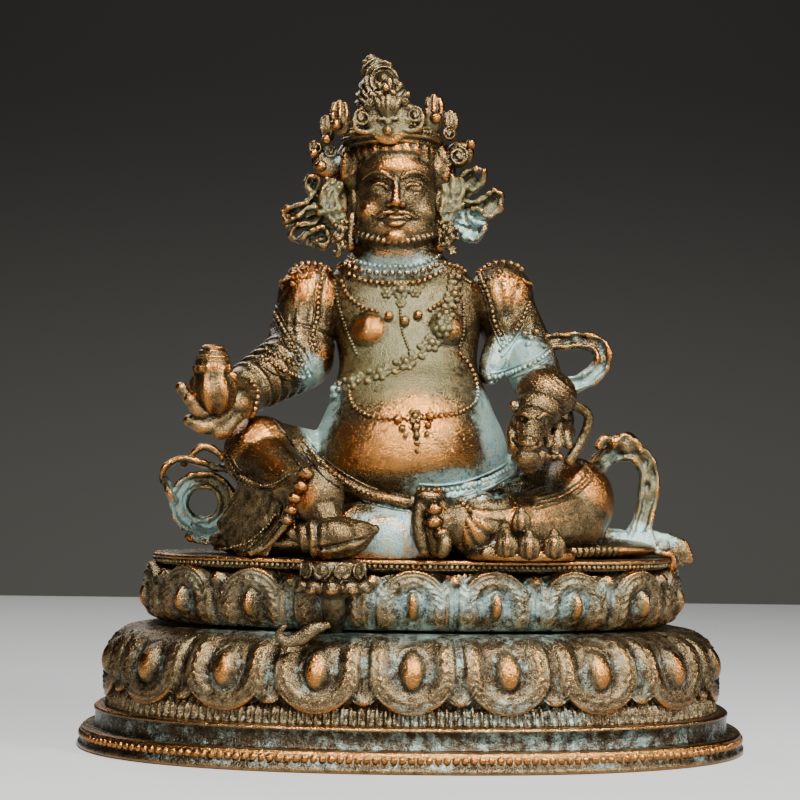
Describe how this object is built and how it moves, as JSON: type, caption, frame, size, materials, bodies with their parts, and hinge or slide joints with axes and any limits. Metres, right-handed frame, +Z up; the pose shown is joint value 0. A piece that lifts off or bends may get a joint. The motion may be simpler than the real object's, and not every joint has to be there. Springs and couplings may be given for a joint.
{
  "type": "jambhala statue",
  "caption": "Cast bronze deity of wealth seated on an oval double-lotus throne, with citron, mongoose, scarves, conch and jewels.",
  "frame": {"origin": "middle of the throne's flat underside, on the ground", "axes": "+Z up, the figure faces -Y, +X towards the figure's left hand"},
  "size_m": [0.21, 0.134, 0.2208],
  "materials": {
    "patinated_bronze": "cast, worn to copper on the high places, with olive and pale blue verdigris"
  },
  "bodies": {
    "root": {"lotus_throne": "patinated_bronze", "jambhala_figure": "patinated_bronze"}
  },
  "joints": []
}
